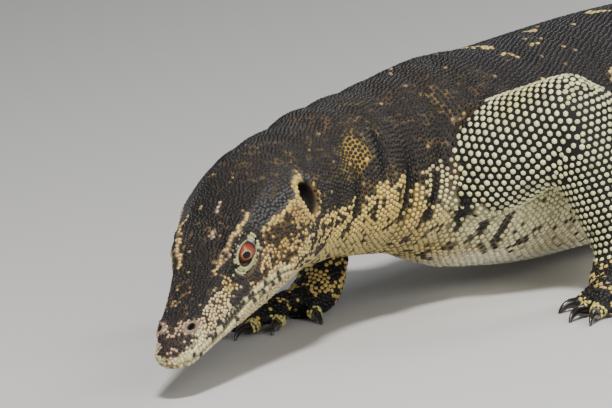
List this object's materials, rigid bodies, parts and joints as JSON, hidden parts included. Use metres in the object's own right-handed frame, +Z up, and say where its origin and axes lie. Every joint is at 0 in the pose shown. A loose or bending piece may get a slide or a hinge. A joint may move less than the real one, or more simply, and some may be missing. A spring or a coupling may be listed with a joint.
{
  "type": "water monitor lizard",
  "caption": "life-size still model of a large walking monitor lizard with lowered head, loose neck folds, spread clawed feet and a long tail laid on the ground",
  "frame": {"origin": "on the floor, below the middle of the whole lizard's box from snout to tail tip", "axes": "+X to the lizard's left, +Y towards its tail, along its whole length, +Z up; it faces -Y"},
  "size_m": [0.4124, 1.7344, 0.1272],
  "materials": {
    "dark_skin": "satin, beaded",
    "pale_skin": "satin, beaded",
    "claw": "glossy horn",
    "eye": "wet gloss"
  },
  "bodies": {
    "root": {"belly": "dark_skin", "chest": "dark_skin", "eye_left": "eye", "eye_right": "eye", "fore_left_claw_1": "claw", "fore_left_claw_2": "claw", "fore_left_claw_3": "claw", "fore_left_claw_4": "claw", "fore_left_claw_5": "claw", "fore_left_foot": "dark_skin", "fore_left_lower": "dark_skin", "fore_left_upper": "dark_skin", "fore_right_claw_1": "claw", "fore_right_claw_2": "claw", "fore_right_claw_3": "claw", "fore_right_claw_4": "claw", "fore_right_claw_5": "claw", "fore_right_foot": "dark_skin", "fore_right_lower": "dark_skin", "fore_right_upper": "dark_skin", "head": "dark_skin", "hind_left_claw_1": "claw", "hind_left_claw_2": "claw", "hind_left_claw_3": "claw", "hind_left_claw_4": "claw", "hind_left_claw_5": "claw", "hind_left_foot": "dark_skin", "hind_left_lower": "dark_skin", "hind_left_upper": "dark_skin", "hind_right_claw_1": "claw", "hind_right_claw_2": "claw", "hind_right_claw_3": "claw", "hind_right_claw_4": "claw", "hind_right_claw_5": "claw", "hind_right_foot": "dark_skin", "hind_right_lower": "dark_skin", "hind_right_upper": "dark_skin", "hips": "dark_skin", "lower_jaw": "pale_skin", "neck": "dark_skin", "tail_1": "dark_skin", "tail_2": "dark_skin", "tail_3": "dark_skin", "tail_4": "dark_skin", "tail_5": "dark_skin"}
  },
  "joints": []
}
